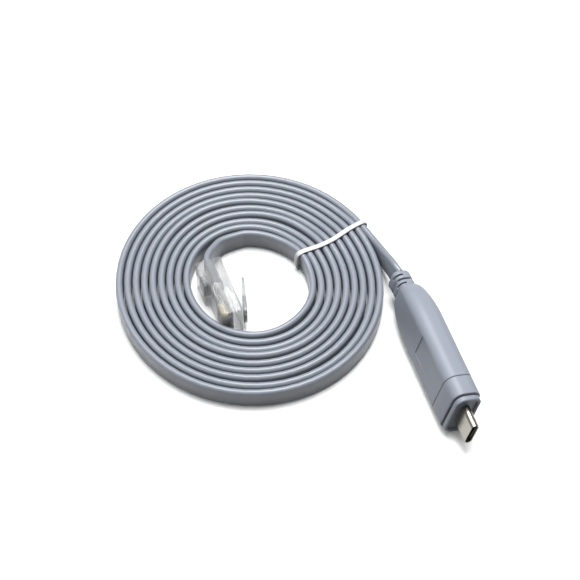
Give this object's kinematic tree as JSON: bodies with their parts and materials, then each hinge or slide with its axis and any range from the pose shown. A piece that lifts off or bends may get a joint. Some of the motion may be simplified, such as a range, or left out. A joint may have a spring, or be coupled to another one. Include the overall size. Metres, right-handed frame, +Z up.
{
  "type": "rj45 console cable",
  "caption": "Flat console cable wound on edge into a tied coil, with a USB-C connector at one end and a clear RJ45 modular plug at the other.",
  "frame": {"origin": "on the plane that the part rests on, under the middle of the box round the two connectors and the tie; the cable is left out of that box", "axes": "+Z up, away from the resting plane; +Y away from the side that the USB-C connector points to; +X to the right, towards the USB-C connector"},
  "size_m": [0.1082, 0.1007, 0.0169],
  "materials": {
    "cable": "pale blue-grey soft PVC with a satin sheen",
    "housing": "pale blue-grey moulded PVC, fine matt texture",
    "nose": "blue-grey moulded plastic, satin",
    "tie": "white plastic-covered wire",
    "clear": "clear moulded polycarbonate",
    "nickel": "satin nickel plate over stamped steel",
    "gold": "gold-plated contact blades",
    "liner": "black moulded insulator",
    "conductor": "insulated conductors"
  },
  "bodies": {
    "root": {"twist_tie": "tie", "usb_housing": "housing", "usb_front_cap": "housing", "usb_nose_piece": "nose", "usb_c_shell": "nickel", "usb_c_liner": "liner", "plug_body": "clear", "contact_blade_1": "gold", "conductor_1": "conductor", "contact_blade_2": "gold", "conductor_2": "conductor", "contact_blade_3": "gold", "conductor_3": "conductor", "contact_blade_4": "gold", "conductor_4": "conductor", "contact_blade_5": "gold", "conductor_5": "conductor", "contact_blade_6": "gold", "conductor_6": "conductor", "contact_blade_7": "gold", "conductor_7": "conductor", "contact_blade_8": "gold", "conductor_8": "conductor", "cable_coil": "cable", "cable_outer_lead": "cable", "cable_inner_lead": "cable"},
    "latch": {"plug_latch": "clear"}
  },
  "joints": [
    {"name": "latch_press", "type": "hinge", "parent": "root", "child": "latch", "pos_m": [-0.02615, -0.00042, 0.00584], "axis": [0, 0, 1], "range_deg": [0, 14], "stiffness_Nm_per_rad": 0.02}
  ]
}
